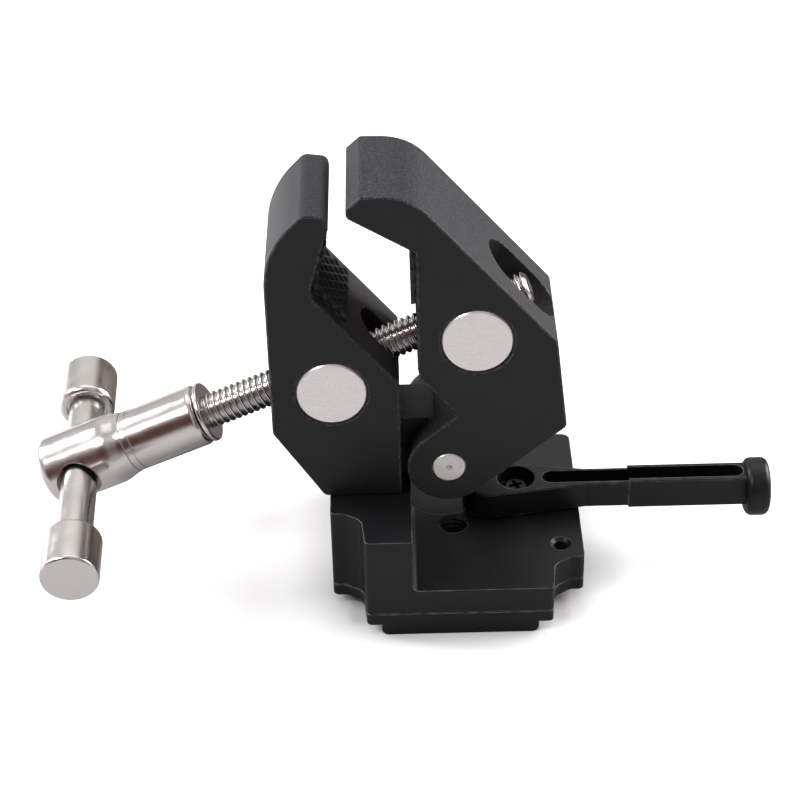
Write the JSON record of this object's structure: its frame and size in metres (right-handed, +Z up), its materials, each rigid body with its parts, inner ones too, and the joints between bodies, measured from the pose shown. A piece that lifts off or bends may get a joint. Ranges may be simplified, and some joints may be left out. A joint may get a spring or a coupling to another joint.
{
  "type": "super clamp",
  "caption": "Two-jaw clamp for tubes and boards, tightened by a screw with a sliding T-bar, standing on a quick-release plate receiver with a side lever.",
  "frame": {"origin": "in the resting plane of the foot, in the mouth of the plate recess, below the jaws' middle plane", "axes": "+X from the T-handle towards the release lever, +Y away from the front, +Z up"},
  "size_m": [0.1678, 0.0713, 0.1027],
  "materials": {
    "blasted_black": "sandblasted black anodised, matt",
    "satin_black": "smooth black anodised, semi-gloss",
    "nickel": "nickel plated, polished",
    "nickel_satin": "nickel plated, finely brushed",
    "steel": "bare steel",
    "black_steel": "blackened steel",
    "pad_rubber": "moulded rubber with a diamond pattern",
    "nylon": "moulded"
  },
  "bodies": {
    "foot_and_fixed_jaw": {"adapter_body": "satin_black", "fixed_jaw": "blasted_black", "fixed_jaw_pad": "pad_rubber", "pivot_rivet": "steel", "jaw_screw_front": "black_steel", "jaw_screw_back": "black_steel", "grub_screw": "black_steel", "lever_washer": "nylon"},
    "swing_jaw": {"swing_jaw": "blasted_black", "swing_jaw_pad": "pad_rubber"},
    "plain_trunnion": {"plain_trunnion": "nickel_satin"},
    "threaded_trunnion": {"threaded_trunnion": "nickel_satin"},
    "thrust_washer": {"thrust_washer": "nickel"},
    "screw_and_handle": {"clamp_screw": "nickel", "handle_sleeve": "nickel"},
    "handle_bar": {"handle_bar": "nickel", "bar_knob_near": "nickel", "bar_knob_far": "nickel"},
    "release_lever": {"release_lever": "satin_black", "lever_knob": "satin_black", "lever_screw": "black_steel", "lever_retainer": "black_steel"},
    "lock_slider": {"lock_slider": "satin_black"}
  },
  "joints": [
    {"name": "jaw_swing", "type": "hinge", "parent": "foot_and_fixed_jaw", "child": "swing_jaw", "pos_m": [-0.0018, 0, 0.0335], "axis": [0, 1, 0], "range_deg": [-3, 24]},
    {"name": "plain_trunnion_turn", "type": "hinge", "parent": "foot_and_fixed_jaw", "child": "plain_trunnion", "pos_m": [-0.0272, 0, 0.054], "axis": [0, 1, 0], "range_deg": [-1.62, 12.96]},
    {"name": "threaded_trunnion_turn", "type": "hinge", "parent": "swing_jaw", "child": "threaded_trunnion", "pos_m": [0.0045, 0, 0.0667], "axis": [0, 1, 0], "range_deg": [-11.04, 1.38]},
    {"name": "screw_travel", "type": "slide", "parent": "threaded_trunnion", "child": "thrust_washer", "axis": [-0.9178, 0, -0.3971], "range_m": [-0.0045, 0.0045]},
    {"name": "screw_turn", "type": "hinge", "parent": "thrust_washer", "child": "screw_and_handle", "pos_m": [-0.05056, 0, 0.04287], "axis": [-0.9178, 0, -0.3971], "range_deg": [-1080, 1080]},
    {"name": "bar_slide", "type": "slide", "parent": "screw_and_handle", "child": "handle_bar", "axis": [-0.0298, 0.9972, 0.0688], "range_m": [-0.0098, 0.0172]},
    {"name": "lever_turn", "type": "hinge", "parent": "foot_and_fixed_jaw", "child": "release_lever", "pos_m": [0.014, 0.0002, 0.0165], "axis": [0, 0, 1], "range_deg": [0, 70]},
    {"name": "lock_slide", "type": "slide", "parent": "foot_and_fixed_jaw", "child": "lock_slider", "axis": [1, 0, 0], "range_m": [0, 0.0016]}
  ],
  "couplings": [
    {"joint": "plain_trunnion_turn", "follows": "jaw_swing", "ratio": 0.54},
    {"joint": "threaded_trunnion_turn", "follows": "jaw_swing", "ratio": -0.46},
    {"joint": "screw_travel", "follows": "screw_turn", "m_per_rad": 0.00023873},
    {"joint": "lock_slide", "follows": "lever_turn", "m_per_rad": 0.0013096}
  ]
}
